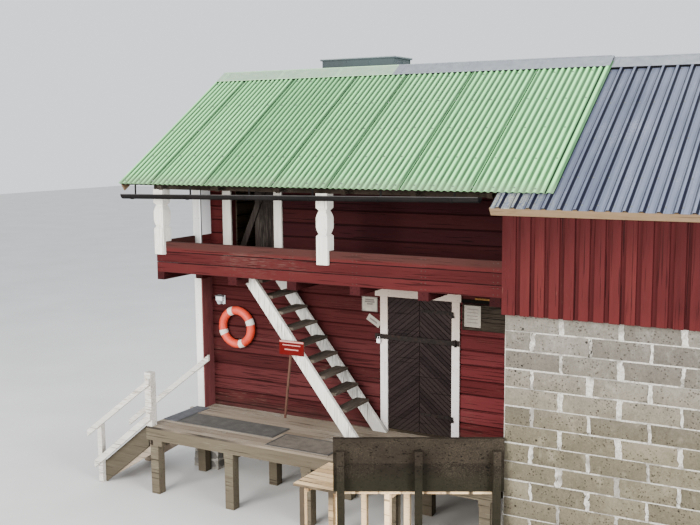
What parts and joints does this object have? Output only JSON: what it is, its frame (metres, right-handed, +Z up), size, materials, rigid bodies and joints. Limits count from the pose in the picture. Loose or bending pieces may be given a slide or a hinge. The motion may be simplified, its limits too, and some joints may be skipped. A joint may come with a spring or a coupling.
{
  "type": "log sauna",
  "caption": "Two-storey log sauna with an open gallery, ladder stair, deck and a block-based side extension under one corrugated saddle roof, with a hinged plank door and its locking bar.",
  "frame": {"origin": "at rest level, on the foot of the front left pier below the front left corner of the log house", "axes": "+X along the facade from the gallery end to the extension, +Y into the building, +Z up"},
  "size_m": [9.572, 5.8727, 5.684],
  "materials": {
    "stone": "rough",
    "red_log": "matt paint",
    "red_board": "matt paint",
    "white_board": "worn paint",
    "raw_board": "rough sawn",
    "green_sheet": "weathered",
    "dark_sheet": "satin",
    "ridge_sheet": "weathered",
    "beige_board": "matt paint",
    "gutter_metal": "satin",
    "chimney_sheet": "satin",
    "block": "rough",
    "dark_door": "oiled",
    "iron": "rusted",
    "lock": "worn",
    "brown_plank": "weathered",
    "lamp_case": "satin",
    "buoy": "worn",
    "grey_tread": "weathered",
    "sign": "painted",
    "deck_board": "weathered",
    "mat": "matt",
    "pale_wood": "planed"
  },
  "bodies": {
    "house": {"foundation_piers": "stone", "floor_beams": "red_board", "gable_logs": "red_log", "front_logs_left": "red_log", "front_logs_right": "red_log", "front_logs_over": "red_log", "front_logs_loft": "red_log", "rear_logs": "red_log", "ground_floor": "raw_board", "upper_floor": "raw_board", "gallery_parapet": "red_board", "gallery_posts": "white_board", "roof_timbers": "raw_board", "roof_boards": "raw_board", "green_sheets": "green_sheet", "dark_sheets": "dark_sheet", "ridge_caps": "ridge_sheet", "verge_and_fascia_boards": "beige_board", "gutter": "gutter_metal", "chimney": "chimney_sheet", "block_walls": "block", "board_walls": "red_board", "corner_casing": "white_board", "door_frame": "white_board", "loft_frame": "white_board", "loft_door": "dark_door", "hinge_irons": "iron", "notice_plank": "brown_plank", "wall_lamp": "lamp_case", "lifebuoy": "buoy", "ladder_stringers": "white_board", "ladder_treads": "grey_tread", "sign_on_stick": "sign", "deck_boards": "deck_board", "deck_frame": "deck_board", "door_mats": "mat", "stair_stringers": "deck_board", "stair_treads": "deck_board", "stair_railing": "white_board", "landing": "pale_wood", "retaining_plank": "brown_plank"},
    "door": {"door_leaf": "dark_door", "door_straps": "iron"},
    "bar": {"locking_bar": "iron", "padlock": "lock"}
  },
  "joints": [
    {"name": "door_hinge", "type": "hinge", "parent": "house", "child": "door", "pos_m": [3.74, -0.048, 1.18], "axis": [0, 0, 1], "range_deg": [0, 105]},
    {"name": "bar_hinge", "type": "hinge", "parent": "house", "child": "bar", "pos_m": [3.778, -0.041, 2.12], "axis": [0, 0, 1], "range_deg": [0, 105]}
  ],
  "couplings": [
    {"joint": "bar_hinge", "follows": "door_hinge", "ratio": 1}
  ]
}
